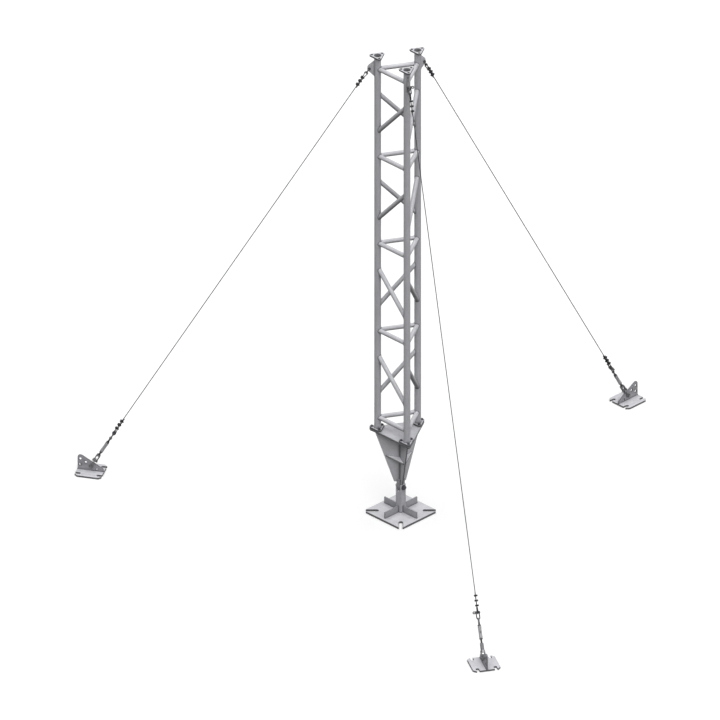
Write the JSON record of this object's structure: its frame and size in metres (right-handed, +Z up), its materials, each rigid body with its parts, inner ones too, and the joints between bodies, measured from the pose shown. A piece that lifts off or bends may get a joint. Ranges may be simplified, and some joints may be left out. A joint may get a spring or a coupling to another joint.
{
  "type": "guyed lattice mast",
  "caption": "Three-legged steel lattice mast section on a pivoting base cone, held upright by taut wire guys with turnbuckles and ground anchor plates.",
  "frame": {"origin": "centre of the foot plate's underside, on the mast's axis at the level of the ground", "axes": "+Z up the mast's axis, +Y towards leg A and its guy; legs B and C follow counter-clockwise seen from above"},
  "size_m": [4.1372, 3.5902, 3.65],
  "materials": {
    "galvanised_tube": "hot-dip galvanised, dull",
    "galvanised_brace": "hot-dip galvanised, dull",
    "galvanised_plate": "hot-dip galvanised, dull",
    "bolt_steel": "dark zinc",
    "zinc_hardware": "zinc plated, satin",
    "wire_rope": "galvanised strands"
  },
  "bodies": {
    "root": {"anchor_fin_a": "galvanised_plate", "anchor_fin_b": "galvanised_plate", "anchor_fin_c": "galvanised_plate", "anchor_plate_a": "galvanised_plate", "anchor_plate_b": "galvanised_plate", "anchor_plate_c": "galvanised_plate", "brace_ring_1": "galvanised_brace", "brace_ring_2": "galvanised_brace", "brace_ring_3": "galvanised_brace", "brace_ring_4": "galvanised_brace", "brace_ring_5": "galvanised_brace", "cone_fin_a": "galvanised_plate", "cone_fin_b": "galvanised_plate", "cone_fin_c": "galvanised_plate", "cone_gussets": "galvanised_plate", "cone_top_plate": "galvanised_plate", "diagonals_ab": "galvanised_brace", "diagonals_bc": "galvanised_brace", "diagonals_ca": "galvanised_brace", "flange_bolts": "bolt_steel", "foot_plate": "galvanised_plate", "foot_post": "galvanised_plate", "foot_ribs": "galvanised_plate", "guy_lugs": "galvanised_plate", "guy_rope_a": "wire_rope", "guy_rope_b": "wire_rope", "guy_rope_c": "wire_rope", "leg_a": "galvanised_tube", "leg_b": "galvanised_tube", "leg_c": "galvanised_tube", "leg_foot_flanges": "galvanised_plate", "leg_top_flanges": "galvanised_plate", "pivot_bolt": "bolt_steel", "pivot_tongue": "galvanised_plate", "rope_clips": "bolt_steel", "shackle_bows": "zinc_hardware", "shackle_pins": "zinc_hardware", "thimbles": "zinc_hardware", "turnbuckle_body_a": "zinc_hardware", "turnbuckle_body_b": "zinc_hardware", "turnbuckle_body_c": "zinc_hardware", "turnbuckle_jaw_pins": "zinc_hardware", "turnbuckle_jaws": "zinc_hardware", "turnbuckle_lock_nuts": "zinc_hardware", "turnbuckle_rod_eyes": "zinc_hardware"}
  },
  "joints": []
}
